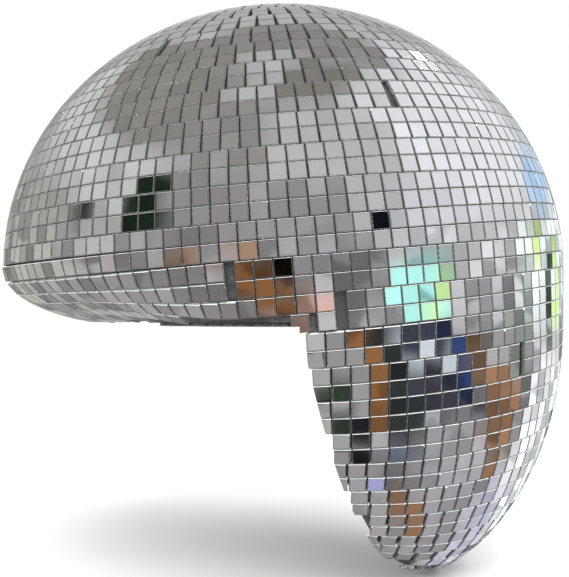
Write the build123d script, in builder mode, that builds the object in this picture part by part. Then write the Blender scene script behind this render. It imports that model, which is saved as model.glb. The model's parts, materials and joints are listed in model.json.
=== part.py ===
from build123d import *

import os
from itertools import product
from math import acos, atan2, cos, floor, hypot, pi, radians, sin, sqrt
from random import Random

# A melted mirror ball that sits over a shelf's front edge. Millimetres.
# x runs along the shelf's edge, y is 0 on the shelf's front face and grows to the back,
# and z is 0 on the shelf's top. The dome stands on the shelf and the drip hangs in front.

# Body
ball_radius = 100.5  # round body, seen from above
dome_rise = 95.0  # from the belt, the widest level, to the crown
belt_height = 20.0  # belt above the shelf's top
set_back = 54.5  # ball's axis behind the shelf's front face
tuck_width = 50.0  # how far the underside draws in behind the shelf's edge
tuck_blend = radians(50.0)  # turn over which the tuck grows, away from the shelf's edge
drip_drop = 82.5  # drip below the shelf's top
drip_taper = 38.0  # narrowing of each side of the drip, before its end rounds off
drip_side_power = 3.5  # higher keeps the drip's sides straighter
drip_front_power = 2.2  # higher keeps the drip's front fuller
drip_front_round = 0.7
drip_tip_depth = 6.0  # front to back at the very tip
drip_end_share = 0.995  # share of the drop at the drip's last section

# Shell, and the covers and felts of its two flat sides
shell_wall = 3.0
flat_wall = 5.0  # shell wall at the two flat sides
felt_thickness = 1.2
felt_margin = 4.0  # felt edge inside the flat side's outline
cover_thickness = 2.0
cover_margin = 9.0  # cover recess inside the flat side's outline
cover_fit = 0.25  # clearance round a cover
corner_margin = 8.0  # cover recess away from the corner over the shelf's edge
ledge_width = 7.0  # shell ledge under a cover's edge

# Cover screws
screw_diameter = 2.5
screw_length = 3.4  # below the head
screw_head_diameter = 4.6
screw_head_height = 1.2
screw_fit = 0.1  # clearance round a screw and its head
screw_inset = 3.5  # screw centre inside the recess's edge
seat_screw_turns = (115.0, 147.0, 180.0, 213.0, 245.0)
corner_screw_spacing = 62.0  # between the two screws nearest the shelf's edge
apron_screw_levels = (0.30, 0.62)  # shares of the drip's drop, one screw each side

# Mirror tiles, on strips two rows wide
tile_side = 5.0
tile_gap = 0.25
glass_thickness = 1.15
glue_thickness = 0.3
crown_patch = 2  # tiles each way from the crown's middle one, in a square grid
crown_patch_reach = 2.4  # grid tiles further out than this many pitches are left off
first_ring = 19.4  # travel from the crown to the first ring of tiles
ring_count = 5  # single rings before the strips begin
strip_seam = 2.0  # gap where a strip's two ends meet
seam_step = radians(137.5)  # turn from one strip's seam to the next
lean_to_side = radians(-5.4)  # lean of the rows' axis towards +x and towards +y
lean_to_back = radians(2.1)
tile_wobble = radians(0.9)  # how much each tile is set askew
least_cut_tile = 1.3  # narrowest width of glass left by a cut
edge_clearance = 0.3  # from the tiles to the shelf's top and face
glass_left = 1.4  # the rows end where less of a tile than this would stand above the shelf
rows_meet_ahead = 11.0  # in front of the shelf's face, where dome rows and drip rows meet
belt_travel = 140.0  # rows nearer the crown than this go all the way round

tile_pitch = tile_side + tile_gap
flat_half_width = sqrt(ball_radius**2 - set_back**2)
drip_top_depth = ball_radius - set_back
edge_turn = acos(set_back / ball_radius)  # from straight ahead to the shelf's edge
tip_depth_below = drip_drop * drip_end_share
belly_spans = 26  # spline spans of one belly section
belly_levels = 6  # sections of the belly and of the drip, less one
drip_levels = 14
dome_levels = 12  # spline spans of the dome's profile
outline_spans = 24  # spline spans of each curved edge of the covers and felts


# Outlines of the body -------------------------------------------------------------------


def drip_circle(share):
    """Centre and radius of the circle whose front part is the drip's level section."""
    taper = flat_half_width - drip_taper * share
    half_width = taper * sqrt(1.0 - share**drip_side_power)
    fullness = (1.0 - share**drip_front_power) ** drip_front_round
    depth = drip_tip_depth + (drip_top_depth - drip_tip_depth) * fullness
    radius = (half_width**2 + depth**2) / (2.0 * depth)
    return radius - depth, radius


def drip_chord(share, inset, face_depth):
    """Half width of the drip's level section at face_depth in front of the shelf's face."""
    centre, radius = drip_circle(share)
    return sqrt((radius - inset) ** 2 - (centre + face_depth) ** 2)


def belly_radius(turn, height, floor_height, inset=0.0):
    """Radius about the ball's axis between the flat underside and the belt."""
    growth = min(max((min(turn, 2.0 * pi - turn) - edge_turn) / tuck_blend, 0.0), 1.0)
    smooth = growth * growth * (3.0 - 2.0 * growth)
    below = min((belt_height - height) / (belt_height - floor_height), 1.0)
    drawn_in = (tuck_width - inset) * smooth * (1.0 - sqrt(1.0 - below * below))
    return ball_radius - inset - drawn_in


def belly_points(height, floor_height, face_depth, inset=0.0):
    """Points of a level section, from the flat back's one edge round the back to its other."""
    first = acos((set_back + face_depth) / (ball_radius - inset))
    points = []
    for span in range(belly_spans + 1):
        turn = first + 2.0 * (pi - first) * span / belly_spans
        radius = belly_radius(turn, height, floor_height, inset)
        points.append((radius * sin(turn), set_back - radius * cos(turn)))
    return points


def drip_section(share, inset, face_depth):
    """The drip's level section, share of the way down."""
    centre, radius = drip_circle(share)
    half = drip_chord(share, inset, face_depth)
    with BuildSketch(Plane.XY.offset(-share * drip_drop)) as section:
        with BuildLine():
            ThreePointArc((-half, -face_depth), (0, centre - radius + inset), (half, -face_depth))
            Line((half, -face_depth), (-half, -face_depth))
        make_face()
    return section.sketch


def belly_section(height, flat_inset, inset):
    """The level section behind the flat back's plane, between the underside and the belt."""
    outline = belly_points(height, flat_inset, flat_inset, inset)
    with BuildSketch(Plane.XY.offset(height)) as section:
        with BuildLine():
            if height < belt_height:
                Spline(*outline)
            else:
                ThreePointArc(outline[0], (0, set_back + ball_radius - inset), outline[-1])
            Line(outline[-1], outline[0])
        make_face()
    return section.sketch


def solid_body(inset, flat_inset):
    """The body, its curved side drawn in by inset and its flat sides by flat_inset."""
    belly_sections = []
    for level in range(belly_levels + 1):
        height = belt_height - (belt_height - flat_inset) * (1.0 - level / belly_levels)
        belly_sections.append(belly_section(height, flat_inset, inset))
    drip_sections = []
    last_share = drip_end_share - 2.0 * inset / drip_drop
    for level in range(drip_levels + 1):
        share = last_share * (1.0 - (1.0 - level / drip_levels) ** 2)
        drip_sections.append(drip_section(share, inset, flat_inset))
    profile = []
    for level in range(dome_levels + 1):
        turn = pi / 2 * level / dome_levels
        reach = (ball_radius - inset) * cos(turn)
        profile.append((set_back + reach, belt_height + (dome_rise - inset) * sin(turn)))
    with BuildPart() as body:
        with BuildSketch(Plane.YZ):
            with BuildLine():
                Spline(*profile, tangents=[(0, 1), (-1, 0)])
                Polyline(profile[-1], (set_back, belt_height), profile[0])
            make_face()
        revolve(axis=Axis((0, set_back, 0), (0, 0, 1)))
        loft(belly_sections)
        loft(drip_sections)
        extrude(drip_sections[0], amount=belt_height)
    return body.part


def drawn_in(outline, margin):
    """The outline drawn in by margin, its curved edges redrawn as splines."""
    with BuildSketch() as smaller:
        add(outline)
        offset(amount=-margin)
    with BuildSketch() as redrawn:
        with BuildLine():
            for edge in smaller.edges():
                if edge.geom_type == GeomType.LINE:
                    Line(edge @ 0, edge @ 1)
                else:
                    Spline(*[edge @ (span / outline_spans) for span in range(outline_spans + 1)])
        make_face()
    return redrawn.sketch


def seat_outline(plane, margin, front):
    """The flat underside, margin inside its outline and no nearer the shelf's face than front."""
    outline = belly_points(felt_thickness, felt_thickness, felt_thickness)
    with BuildSketch() as whole:
        with BuildLine():
            Spline(*outline)
            Line(outline[-1], outline[0])
        make_face()
    with BuildSketch(plane) as face:
        add(drawn_in(whole.sketch, margin))
        with Locations((0, front)):
            Rectangle(
                4 * ball_radius, 4 * ball_radius, align=(Align.CENTER, Align.MAX), mode=Mode.SUBTRACT
            )
    return face.sketch


def apron_outline(plane, margin, top):
    """The drip's flat back, margin inside its outline and no higher than top."""
    shares = [drip_end_share * (1.0 - (1.0 - level / 9.0) ** 2) for level in range(10)]
    side = [(drip_chord(share, 0.0, felt_thickness), -share * drip_drop) for share in shares]
    with BuildSketch() as whole:
        with BuildLine():
            Spline(*side)
            Spline(*[(-x, y) for x, y in side])
            Line(side[0], (-side[0][0], side[0][1]))
            Line(side[-1], (-side[-1][0], side[-1][1]))
        make_face()
    with BuildSketch(plane) as face:
        add(drawn_in(whole.sketch, margin))
        with Locations((0, top)):
            Rectangle(
                4 * ball_radius, 4 * ball_radius, align=(Align.CENTER, Align.MIN), mode=Mode.SUBTRACT
            )
    return face.sketch


seat_plane = Plane.XY.offset(felt_thickness)
apron_plane = Plane.XZ.offset(felt_thickness)

seat_screw_spots = []
for turn_degrees in seat_screw_turns:
    turn = radians(turn_degrees)
    reach = belly_radius(turn, felt_thickness, felt_thickness) - cover_margin - screw_inset
    seat_screw_spots.append((reach * sin(turn), set_back - reach * cos(turn)))
for side in (-1, 1):
    seat_screw_spots.append((side * corner_screw_spacing / 2, corner_margin + screw_inset))

apron_screw_spots = []
for share in apron_screw_levels:
    reach = drip_chord(share, 0.0, felt_thickness) - cover_margin - 1.4 * screw_inset
    for side in (-1, 1):
        apron_screw_spots.append((side * reach, -share * drip_drop))

# Moulded shell, open at its two flat sides ----------------------------------------------

outer_body = solid_body(0.0, felt_thickness)
inner_body = solid_body(shell_wall, felt_thickness + flat_wall)

with BuildPart() as shell:
    add(outer_body)
    add(inner_body, clean=False, mode=Mode.SUBTRACT)
    seat_recess = seat_outline(seat_plane, cover_margin, corner_margin)
    seat_hole = seat_outline(seat_plane, cover_margin + ledge_width, corner_margin + ledge_width)
    apron_recess = apron_outline(apron_plane, cover_margin, -corner_margin)
    apron_hole = apron_outline(apron_plane, cover_margin + ledge_width, -corner_margin - ledge_width)
    extrude(seat_recess, amount=cover_thickness, clean=False, mode=Mode.SUBTRACT)
    extrude(seat_hole, amount=flat_wall, clean=False, mode=Mode.SUBTRACT)
    extrude(apron_recess, amount=cover_thickness, clean=False, mode=Mode.SUBTRACT)
    extrude(apron_hole, amount=flat_wall, clean=False, mode=Mode.SUBTRACT)
    for plane, spots in ((seat_plane, seat_screw_spots), (apron_plane, apron_screw_spots)):
        with BuildSketch(plane):
            with Locations(*spots):
                Circle(screw_diameter / 2 + screw_fit)
        extrude(amount=flat_wall, clean=False, mode=Mode.SUBTRACT)
shell.part.label = "shell"

# Covers ---------------------------------------------------------------------------------


def cover(name, plane, outline, spots):
    """A flat cover with counterbored screw holes, its outer face on the plane."""
    with BuildPart() as panel:
        extrude(outline, amount=cover_thickness)
        with BuildSketch(plane):
            with Locations(*spots):
                Circle(screw_diameter / 2 + screw_fit)
        extrude(amount=cover_thickness, mode=Mode.SUBTRACT)
        with BuildSketch(plane):
            with Locations(*spots):
                Circle(screw_head_diameter / 2 + screw_fit)
        extrude(amount=screw_head_height, mode=Mode.SUBTRACT)
    panel.part.label = name
    return panel.part


seat_cover_outline = seat_outline(seat_plane, cover_margin + cover_fit, corner_margin + cover_fit)
apron_cover_outline = apron_outline(apron_plane, cover_margin + cover_fit, -corner_margin - cover_fit)

# Felts, glued over the covers, that meet the shelf --------------------------------------

with BuildPart() as seat_felt:
    extrude(seat_outline(Plane.XY, felt_margin, felt_margin), amount=felt_thickness)
seat_felt.part.label = "seat_felt"

with BuildPart() as apron_felt:
    extrude(apron_outline(Plane.XZ, felt_margin, -felt_margin), amount=felt_thickness)
apron_felt.part.label = "apron_felt"

# Screws ---------------------------------------------------------------------------------


def screw_set(name, plane, spots):
    """One solid screw at each spot, head outwards, flush with the cover."""
    with BuildPart() as screws:
        with BuildSketch(plane):
            with Locations(*spots):
                Circle(screw_head_diameter / 2)
        extrude(amount=screw_head_height)
        with BuildSketch(plane):
            with Locations(*spots):
                Circle(screw_diameter / 2)
        extrude(amount=screw_head_height + screw_length)
    screws.part.label = name
    return screws.part


pieces = [
    shell.part,
    cover("seat_cover", seat_plane, seat_cover_outline, seat_screw_spots),
    cover("apron_cover", apron_plane, apron_cover_outline, apron_screw_spots),
    seat_felt.part,
    apron_felt.part,
    screw_set("seat_screws", seat_plane, seat_screw_spots),
    screw_set("apron_screws", apron_plane, apron_screw_spots),
]

# Mirror tiles ---------------------------------------------------------------------------
# The rows follow the body down from the crown: every row lies at one travel, measured along
# the surface on meridians that run down it the steepest way from a slightly leaning axis.


def outside(x, y, z, tucked):
    """Roughly the distance outside the body's curved side, below 0 inside.

    Tucked is the real body. Otherwise the drip's round sections go on behind the shelf's face.
    """
    if z >= belt_height:
        reach = hypot(x, y - set_back) / ball_radius
        return (hypot(reach, (z - belt_height) / dome_rise) - 1.0) * ball_radius
    if tucked and z >= felt_thickness:
        turn = atan2(x, set_back - y) % (2.0 * pi)
        return hypot(x, y - set_back) - belly_radius(turn, z, felt_thickness)
    share = min(max(-z / drip_drop, 0.0), drip_end_share)
    centre, radius = drip_circle(share)
    return hypot(x, y - centre) - radius


def slope_at(x, y, z, tucked):
    """Outward unit normal, and how fast outside() grows along it."""
    step = 0.02
    across = outside(x + step, y, z, tucked) - outside(x - step, y, z, tucked)
    back = outside(x, y + step, z, tucked) - outside(x, y - step, z, tucked)
    up = outside(x, y, z + step, tucked) - outside(x, y, z - step, tucked)
    length = sqrt(across * across + back * back + up * up)
    return (across / length, back / length, up / length), length / (2.0 * step)


def onto_body(x, y, z, tucked):
    """The point moved along the normal onto the body."""
    for _ in range(2):
        normal, slope = slope_at(x, y, z, tucked)
        shift = outside(x, y, z, tucked) / slope
        x -= normal[0] * shift
        y -= normal[1] * shift
        z -= normal[2] * shift
    return x, y, z


def past_end(x, y, z, tucked):
    """Whether the point has come to where the rows end."""
    if not tucked or y < -felt_thickness or z > felt_thickness + tile_side:
        return z < -tip_depth_below
    normal, _ = slope_at(x, y, z, tucked)
    return z < felt_thickness or z + normal[2] * (glue_thickness + glass_thickness) < glass_left


row_axis = Vector(sin(lean_to_side), sin(lean_to_back), 1.0).normalized()
crown_reach = Vector(row_axis.X * ball_radius**2, row_axis.Y * ball_radius**2, row_axis.Z * dome_rise**2)
crown_share = hypot(row_axis.X * ball_radius, row_axis.Y * ball_radius, row_axis.Z * dome_rise)
crown = Vector(0, set_back, belt_height) + crown_reach / crown_share  # the axis is normal here
row_zero = Vector(0, 1, 0).cross(row_axis).normalized().cross(row_axis)  # turn 0, to the front
row_quarter = row_axis.cross(row_zero)
step_down = 1.5
meridian_count = 240


def downhill(point, distance, tucked):
    """The point moved straight on by a distance, the steepest way down from the crown."""
    normal, _ = slope_at(*point, tucked)
    rise = normal[0] * row_axis.X + normal[1] * row_axis.Y + normal[2] * row_axis.Z
    course = (normal[0] * rise - row_axis.X, normal[1] * rise - row_axis.Y, normal[2] * rise - row_axis.Z)
    scale = distance / sqrt(course[0] ** 2 + course[1] ** 2 + course[2] ** 2)
    return tuple(place + part * scale for place, part in zip(point, course))


def meridian(turn, tucked):
    """Points down the body from the crown, step_down apart, that set out at one turn."""
    start = crown + (row_zero * cos(turn) + row_quarter * sin(turn)) * step_down
    point = onto_body(*start, tucked)
    points = [tuple(crown)]
    while not past_end(*point, tucked):
        points.append(point)
        halfway = onto_body(*downhill(point, step_down / 2.0, tucked), tucked)
        end = downhill(halfway, step_down, tucked)
        point = tuple(near + far - middle for near, far, middle in zip(point, end, halfway))
        if not past_end(*point, tucked):
            point = onto_body(*point, tucked)
    return points


meridians = {}
for tucked in (True, False):
    turns = [2.0 * pi * number / meridian_count for number in range(meridian_count)]
    meridians[tucked] = [meridian(turn, tucked) for turn in turns]


def row_reach(turn, tucked):
    """Travel at which the rows end at this turn."""
    low = floor(turn / (2.0 * pi) * meridian_count)
    trails = meridians[tucked]
    ends = (len(trails[low % meridian_count]), len(trails[(low + 1) % meridian_count]))
    return (min(ends) - 1.0) * step_down


def spot(turn, travel, tucked):
    """The point of the body at this turn and travel."""
    number = turn / (2.0 * pi) * meridian_count
    low = floor(number)
    share = number - low
    corners = []
    for trail in (meridians[tucked][low % meridian_count], meridians[tucked][(low + 1) % meridian_count]):
        place = min(travel / step_down, len(trail) - 1.001)
        start = floor(place)
        rest = place - start
        corners.append([a + (b - a) * rest for a, b in zip(trail[start], trail[start + 1])])
    return Vector(*onto_body(*[a + (b - a) * share for a, b in zip(*corners)], tucked))


def tile_plane(turn, travel, tucked, along, random):
    """The plane that a tile's back lies on, its x along the row."""
    point = spot(turn, travel, tucked)
    normal = Vector(*slope_at(*point, tucked)[0])
    along = (along - normal * along.dot(normal)).normalized()
    askew = along * random.uniform(-1, 1) + normal.cross(along) * random.uniform(-1, 1)
    z_dir = (normal + askew * sin(tile_wobble)).normalized()
    return Plane(origin=point + normal * glue_thickness, x_dir=along, z_dir=z_dir)


def row_direction(turn, travel, tucked):
    """Direction along the row."""
    return spot(turn + 0.01, travel, tucked) - spot(turn - 0.01, travel, tucked)


def column_turns(upper, lower, start_turn, tucked):
    """Turns of the columns of one or two rows, and the room left where their ends meet."""
    edges = (upper - tile_side / 2.0, lower + tile_side / 2.0)
    turns = []
    turn = start_turn
    while turn < start_turn + 2.0 * pi:
        turns.append(turn)
        step = 0.05
        for _ in range(4):
            gaps = [(spot(turn + step, edge, tucked) - spot(turn, edge, tucked)).length for edge in edges]
            step = min(step * tile_pitch / min(gaps), 0.4)
        turn += step
    room = tile_pitch * (start_turn + 2.0 * pi - turns[-1]) / step - tile_pitch
    return turns, room


def strip_turns(upper, lower, seam_turn):
    """Turns of a full strip's columns, its two ends strip_seam apart."""
    turns, room = column_turns(upper, lower, seam_turn, True)
    if room < strip_seam:
        turns.pop()
        room += tile_pitch
    stretch = 1.0 + (room - strip_seam) / (len(turns) * tile_pitch)
    return [seam_turn + (turn - seam_turn) * stretch for turn in turns]


laid_tiles = {}


def lay(plane):
    """Take the tile into the laid ones, or refuse it where it would run into one of them."""
    cell = 2.0 * tile_side
    home = tuple(floor(place / cell) for place in plane.origin)
    for near in product((-1, 0, 1), repeat=3):
        for other in laid_tiles.get(tuple(a + b for a, b in zip(home, near)), []):
            apart = plane.origin - other.origin
            for frame in (plane, other):
                turned = abs(plane.x_dir.dot(other.y_dir))
                room = tile_side + tile_side / 2.0 * turned
                if max(abs(apart.dot(frame.x_dir)), abs(apart.dot(frame.y_dir))) >= room:
                    break
            else:
                if abs(apart.dot(plane.z_dir)) < tile_side:
                    return False
    laid_tiles.setdefault(home, []).append(plane)
    return True


def anywhere(point):
    """Rows that go all the way round."""
    return True


def on_the_dome_side(point):
    """Whether the dome's own rows lie here, and not those that run down the drip."""
    return point.Y > -rows_meet_ahead and point.Z > felt_thickness


def on_the_drip_side(point):
    """Whether the drip's rows lie here, in front of the shelf."""
    beside_drip = point.Z <= felt_thickness and point.Y < tile_side / 2.0 - least_cut_tile
    return point.Y <= -rows_meet_ahead or beside_drip


def lay_rows(name, rows, grid_spots):
    """Planes of the tiles of rows, each a travel, its turns and surface, and of a square grid."""
    random = Random(name)
    planes = [tile_plane(turn, travel, True, row_quarter, random) for turn, travel in grid_spots]
    for travel, turns, tucked, belongs in rows:
        for turn in turns:
            if row_reach(turn, tucked) > travel and belongs(spot(turn, travel, tucked)):
                along = row_direction(turn, travel, tucked)
                planes.append(tile_plane(turn, travel, tucked, along, random))
    return [plane for plane in planes if lay(plane)]


def tile_group(name, planes):
    """A tile on each plane, cut off short of the shelf's top and face."""
    with BuildPart() as tiles:
        with Locations(*planes):
            Box(tile_side, tile_side, glass_thickness, align=(Align.CENTER, Align.CENTER, Align.MIN))
        with Locations((0, -edge_clearance, edge_clearance)):
            Box(
                3 * ball_radius,
                3 * ball_radius,
                2 * drip_drop,
                align=(Align.CENTER, Align.MIN, Align.MAX),
                mode=Mode.SUBTRACT,
            )
    tiles.part.label = name
    return tiles.part


crown_spots = []
for column in range(-crown_patch, crown_patch + 1):
    for row in range(-crown_patch, crown_patch + 1):
        if hypot(column, row) <= crown_patch_reach:
            crown_spots.append((atan2(row, column) % (2.0 * pi), hypot(column, row) * tile_pitch))
crown_rows = []
for ring in range(ring_count):
    travel = first_ring + ring * tile_pitch
    crown_rows.append((travel, strip_turns(travel, travel, ring * seam_step), True, anywhere))
pieces.append(tile_group("crown_tiles", lay_rows("crown", crown_rows, crown_spots)))

first_strip = first_ring + (ring_count - 0.5) * tile_pitch
longest_reach = max(len(points) - 1 for points in meridians[False]) * step_down
strip_count = floor((longest_reach - first_strip) / (2.0 * tile_pitch)) + 1
for strip in range(strip_count):
    upper = first_strip + (2 * strip + 0.5) * tile_pitch
    lower = upper + tile_pitch
    seam = strip * seam_step
    if lower < belt_travel:
        turns = strip_turns(upper, lower, seam)
        rows = [(travel, turns, True, anywhere) for travel in (upper, lower)]
    else:
        drip_turns, _ = column_turns(upper, lower, seam, False)
        dome_turns, _ = column_turns(upper, lower, seam, True)
        rows = [(travel, drip_turns, False, on_the_drip_side) for travel in (upper, lower)]
        rows += [(travel, dome_turns, True, on_the_dome_side) for travel in (upper, lower)]
    planes = lay_rows(f"strip {strip}", rows, [])
    if planes:
        pieces.append(tile_group(f"mirror_strip_{strip + 1:02d}", planes))

# Files ----------------------------------------------------------------------------------

os.makedirs("parts", exist_ok=True)
for piece in pieces:
    export_step(piece, f"parts/{piece.label}.step")
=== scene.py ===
import json
import logging
import math
import random
from dataclasses import dataclass, field
from enum import Enum

import bmesh
import bpy
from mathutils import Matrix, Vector

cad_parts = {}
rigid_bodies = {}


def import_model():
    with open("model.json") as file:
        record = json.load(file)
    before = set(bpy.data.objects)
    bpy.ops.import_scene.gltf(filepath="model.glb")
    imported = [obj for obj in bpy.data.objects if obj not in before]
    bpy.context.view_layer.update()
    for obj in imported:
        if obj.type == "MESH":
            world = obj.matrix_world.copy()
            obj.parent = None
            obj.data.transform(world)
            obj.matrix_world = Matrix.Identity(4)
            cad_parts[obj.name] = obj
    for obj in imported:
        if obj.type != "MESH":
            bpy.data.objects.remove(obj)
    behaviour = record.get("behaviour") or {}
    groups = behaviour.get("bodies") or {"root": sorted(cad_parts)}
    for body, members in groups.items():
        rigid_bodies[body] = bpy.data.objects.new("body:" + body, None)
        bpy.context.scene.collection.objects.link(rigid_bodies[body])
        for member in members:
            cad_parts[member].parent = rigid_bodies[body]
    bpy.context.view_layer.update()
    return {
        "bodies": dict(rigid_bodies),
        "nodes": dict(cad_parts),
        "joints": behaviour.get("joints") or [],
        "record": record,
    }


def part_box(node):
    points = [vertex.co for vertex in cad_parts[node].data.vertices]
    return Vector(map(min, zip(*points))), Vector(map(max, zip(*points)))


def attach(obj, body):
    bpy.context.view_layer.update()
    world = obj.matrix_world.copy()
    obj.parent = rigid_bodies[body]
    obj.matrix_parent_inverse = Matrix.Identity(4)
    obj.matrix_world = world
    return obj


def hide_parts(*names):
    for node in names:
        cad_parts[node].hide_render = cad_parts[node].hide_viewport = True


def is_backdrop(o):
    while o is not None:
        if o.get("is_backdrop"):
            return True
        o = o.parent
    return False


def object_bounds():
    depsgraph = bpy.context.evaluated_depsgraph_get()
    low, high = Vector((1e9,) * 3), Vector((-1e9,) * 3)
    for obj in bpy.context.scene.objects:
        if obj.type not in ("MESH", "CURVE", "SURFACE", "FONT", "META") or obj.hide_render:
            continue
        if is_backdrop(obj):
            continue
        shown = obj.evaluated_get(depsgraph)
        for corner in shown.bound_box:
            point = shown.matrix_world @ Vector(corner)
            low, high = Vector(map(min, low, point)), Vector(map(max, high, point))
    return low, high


# Lengths and places are in metres, powers in watts, and directions in the room in degrees.
MILLIMETRE = 0.001

log = logging.getLogger("mirror_ball")


# Names ------------------------------------------------------------------------------------


class Slot(Enum):
    """Material slots of the record."""

    MIRROR = "mirror_glass"
    FELT = "felt"


class Socket(Enum):
    """Kinds of socket that a shared effect takes and gives."""

    NUMBER = "NodeSocketFloat"
    ARROW = "NodeSocketVector"


class TileData(Enum):
    """What each tile's mesh carries for its finish."""

    TONE = "tile_tone"
    PLACE = "tile_place"
    RISE = "edge_rise"


class Side(Enum):
    """Sides of a tile, in the order of its finishes."""

    FRONT = 0
    EDGE = 1
    BACK = 2


Colour = tuple[float, float, float, float]
Plain = tuple[float, float, float]
Wire = bpy.types.NodeSocket
Wires = dict[str, Wire]

# What an input takes: another node's output, or a value of its own.
Feed = Wire | float | Plain | Colour


# Node trees -------------------------------------------------------------------------------


@dataclass
class NodeDesk:
    """Short ways to add and join nodes in one tree."""

    tree: bpy.types.NodeTree

    def add(self, kind: str, inputs: dict | None = None, **settings: object) -> bpy.types.Node:
        """Add a node.

        Args:
            kind: Blender's name of the node type.
            inputs: Input values by name or index. A socket is joined instead of copied.
            settings: Properties of the node.

        Returns:
            The new node.
        """
        node = self.tree.nodes.new(kind)
        for name, value in settings.items():
            setattr(node, name, value)
        for name, value in (inputs or {}).items():
            self.feed(node.inputs[name], value)
        return node

    def feed(self, socket: Wire, value: Feed) -> None:
        """Join an output to the socket, or set the socket's own value.

        Args:
            socket: The input socket.
            value: An output socket to join, or the value to set.
        """
        if isinstance(value, Wire):
            self.tree.links.new(value, socket)
        else:
            socket.default_value = value

    def math(self, operation: str, *values: Feed, clamp: bool = False) -> Wire:
        """Add a math node and return its output."""
        inputs = dict(enumerate(values))
        return self.add("ShaderNodeMath", inputs, operation=operation, use_clamp=clamp).outputs[0]

    def stretch(
        self, value: Feed, low: float, high: float, to_low: float, to_high: float
    ) -> Wire:
        """Map a value from one range to another, held at the ends.

        Args:
            value: The number to map.
            low: Value that gives to_low.
            high: Value that gives to_high.
            to_low: Result at low.
            to_high: Result at high.

        Returns:
            The mapped number.
        """
        inputs = {0: value, 1: low, 2: high, 3: to_low, 4: to_high}
        return self.add("ShaderNodeMapRange", inputs, interpolation_type="SMOOTHSTEP").outputs[0]

    def noise(
        self, place: Wire, scale: Feed, detail: float = 2.0, roughness: float = 0.5
    ) -> Wire:
        """Noise from 0 to 1 at a place.

        Args:
            place: The point to read it at.
            scale: Lumps per metre, roughly.
            detail: Octaves of finer noise.
            roughness: Strength of the finer octaves.

        Returns:
            The noise value.
        """
        inputs = {"Vector": place, "Scale": scale, "Detail": detail, "Roughness": roughness}
        return self.add("ShaderNodeTexNoise", inputs).outputs[0]

    def blend(self, share: Feed, first: Feed, second: Feed, way: str = "MIX") -> Wire:
        """Mix two colours.

        Args:
            share: Share of the second colour.
            first: Colour at share 0.
            second: Colour at share 1.
            way: Blend type.

        Returns:
            The mixed colour.
        """
        inputs = {0: share, 6: first, 7: second}
        return self.add("ShaderNodeMix", inputs, data_type="RGBA", blend_type=way).outputs[2]

    def own_place(self) -> Wire:
        """The point on the piece, in metres."""
        return self.add("ShaderNodeTexCoord").outputs["Object"]

    def drawn(self, place: Wire, scale: Feed, turn: Plain = (0.0, 0.0, 0.0)) -> Wire:
        """Turn and stretch a place, for noise that runs one way."""
        inputs = {"Vector": place, "Rotation": turn, "Scale": scale}
        return self.add("ShaderNodeMapping", inputs).outputs[0]

    def carried(self, data: TileData, output: str = "Fac") -> Wire:
        """What the tile's mesh carries."""
        return self.add("ShaderNodeAttribute", attribute_name=data.value).outputs[output]


class SharedEffect:
    """A node group that is built once and placed in several materials."""

    title = "effect"
    takes: tuple[tuple[str, Socket, Feed], ...] = ()
    gives: tuple[tuple[str, Socket], ...] = ()

    def build(self, desk: NodeDesk, taken: Wires) -> Wires:
        """Add the effect's nodes.

        Args:
            desk: Desk of the group's tree.
            taken: The group's inputs by name.

        Returns:
            The sockets that give the group's outputs, by name.
        """
        raise NotImplementedError

    def group(self) -> bpy.types.NodeTree:
        """Build the group's tree the first time that it is asked for.

        Returns:
            The group's tree.
        """
        made = bpy.data.node_groups.get(self.title)
        if made:
            return made
        made = bpy.data.node_groups.new(self.title, "ShaderNodeTree")
        for name, kind, start in self.takes:
            socket = made.interface.new_socket(name, in_out="INPUT", socket_type=kind.value)
            socket.default_value = start
        for name, kind in self.gives:
            made.interface.new_socket(name, in_out="OUTPUT", socket_type=kind.value)
        desk = NodeDesk(made)
        entry = desk.add("NodeGroupInput")
        results = self.build(desk, {name: entry.outputs[name] for name, _, _ in self.takes})
        desk.add("NodeGroupOutput", results)
        return made

    def place(self, desk: NodeDesk, **values: Feed) -> bpy.types.Node:
        """Place the group in a material.

        Args:
            desk: Desk of the material's tree.
            values: Inputs by name, with _ for a space.

        Returns:
            The group node.
        """
        node = desk.add("ShaderNodeGroup", node_tree=self.group())
        for name, value in values.items():
            desk.feed(node.inputs[name.replace("_", " ")], value)
        return node


class SettledDust(SharedEffect):
    """Dust that lies on what faces up, in uneven drifts."""

    title = "settled_dust"
    takes = (("Amount", Socket.NUMBER, 0.3), ("Scale", Socket.NUMBER, 60.0))
    gives = (("Mask", Socket.NUMBER),)

    def build(self, desk: NodeDesk, taken: Wires) -> Wires:
        """Join the slope of the surface with two sizes of noise.

        Args:
            desk: Desk of the group's tree.
            taken: The group's inputs by name.

        Returns:
            The mask, 1 where the dust is thickest.
        """
        place = desk.own_place()
        normal = desk.add("ShaderNodeNewGeometry").outputs["Normal"]
        up = desk.add("ShaderNodeSeparateXYZ", {0: normal}).outputs[2]
        facing = desk.stretch(up, 0.1, 1.0, 0.0, 1.0)
        drift = desk.stretch(desk.noise(place, taken["Scale"], 3.0, 0.6), 0.35, 0.7, 0.2, 1.0)
        specks = desk.stretch(desk.noise(place, 2400.0, 1.0), 0.6, 0.75, 0.35, 1.0)
        mask = desk.math("MULTIPLY", desk.math("MULTIPLY", facing, drift), specks)
        return {"Mask": desk.math("MULTIPLY", mask, taken["Amount"], clamp=True)}


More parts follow.
